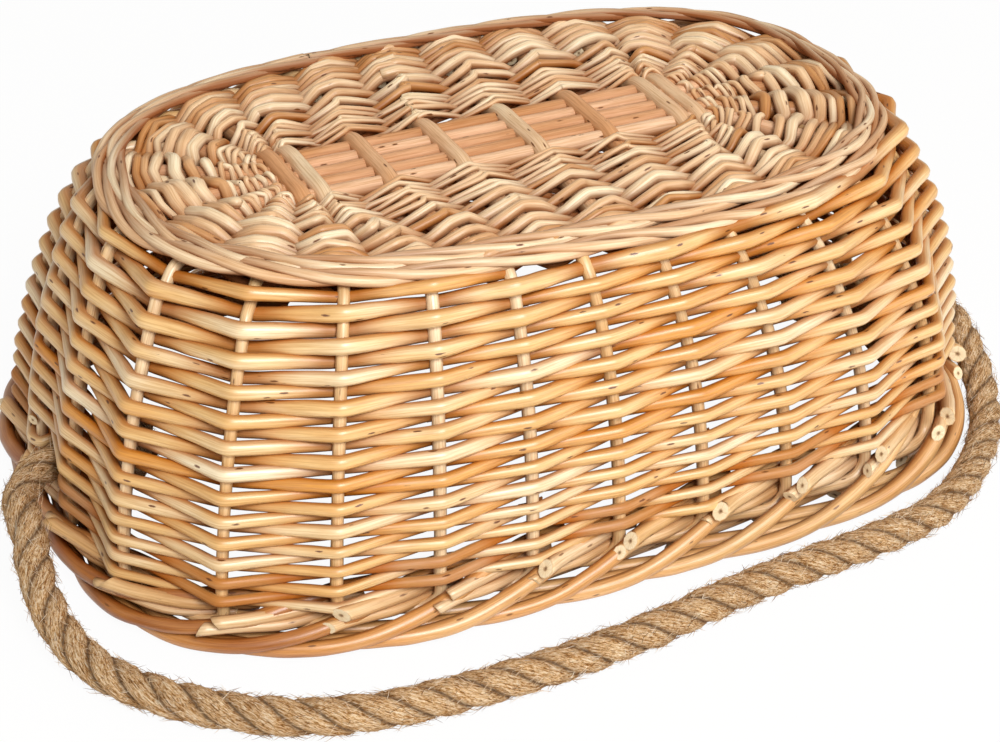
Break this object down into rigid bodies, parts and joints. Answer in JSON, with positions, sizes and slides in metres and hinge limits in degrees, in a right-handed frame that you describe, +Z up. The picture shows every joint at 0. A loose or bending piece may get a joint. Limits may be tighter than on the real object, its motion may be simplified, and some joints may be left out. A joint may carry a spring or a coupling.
{
  "type": "harvest basket",
  "caption": "Oval open-weave harvest basket of round willow rods, with a flat base, flared sides, a rolled border and a thick rope handle that swings across its mouth.",
  "frame": {"origin": "middle of the rim, on the plane that the rim stands on when the basket lies mouth down", "axes": "+X to the right-hand end along the basket's length, +Y to the back, away from the pictured rope, +Z up to the base, which is uppermost"},
  "size_m": [0.5508, 0.3876, 0.1726],
  "materials": {
    "long_stick": "peeled willow, pinkish, satin",
    "cross_stick": "peeled willow, straw coloured, satin",
    "base_rod": "peeled willow, pale, satin",
    "stake": "peeled willow, golden, satin",
    "weaver": "peeled willow, golden, satin",
    "rope": "laid jute, rough and hairy"
  },
  "bodies": {
    "basket": {"base_long_stick_1": "long_stick", "base_long_stick_2": "long_stick", "base_long_stick_3": "long_stick", "base_long_stick_4": "long_stick", "base_long_stick_5": "long_stick", "base_cross_stick_1": "cross_stick", "base_cross_stick_2": "cross_stick", "base_cross_stick_3": "cross_stick", "base_cross_stick_4": "cross_stick", "base_cross_stick_5": "cross_stick", "base_cross_stick_6": "cross_stick", "base_cross_stick_7": "cross_stick", "base_cross_stick_8": "cross_stick", "base_pairing_upper": "base_rod", "base_pairing_lower": "base_rod", "base_weaver_1": "base_rod", "base_weaver_2": "base_rod", "edge_wale_upper": "base_rod", "edge_wale_lower": "base_rod", "stake_01": "stake", "stake_02": "stake", "stake_03": "stake", "stake_04": "stake", "stake_05": "stake", "stake_06": "stake", "stake_07": "stake", "stake_08": "stake", "stake_09": "stake", "stake_10": "stake", "stake_11": "stake", "stake_12": "stake", "stake_13": "stake", "stake_14": "stake", "stake_15": "stake", "stake_16": "stake", "stake_17": "stake", "stake_18": "stake", "stake_19": "stake", "stake_20": "stake", "stake_21": "stake", "stake_22": "stake", "stake_23": "stake", "stake_24": "stake", "stake_25": "stake", "stake_26": "stake", "side_weaver_01": "weaver", "side_weaver_02": "weaver", "side_weaver_03": "weaver", "side_weaver_04": "weaver", "side_weaver_05": "weaver", "side_weaver_06": "weaver", "side_weaver_07": "weaver", "side_weaver_08": "weaver", "side_weaver_09": "weaver", "side_weaver_10": "weaver", "low_weaver_back": "weaver", "low_weaver_front": "weaver"},
    "handle": {"rope_handle": "rope", "rope_knot_right": "rope", "rope_knot_left": "rope"}
  },
  "joints": [
    {"name": "handle_swing", "type": "hinge", "parent": "basket", "child": "handle", "pos_m": [0, 0, 0.0339], "axis": [1, 0, 0], "range_deg": [-37.5, 217.5]}
  ]
}
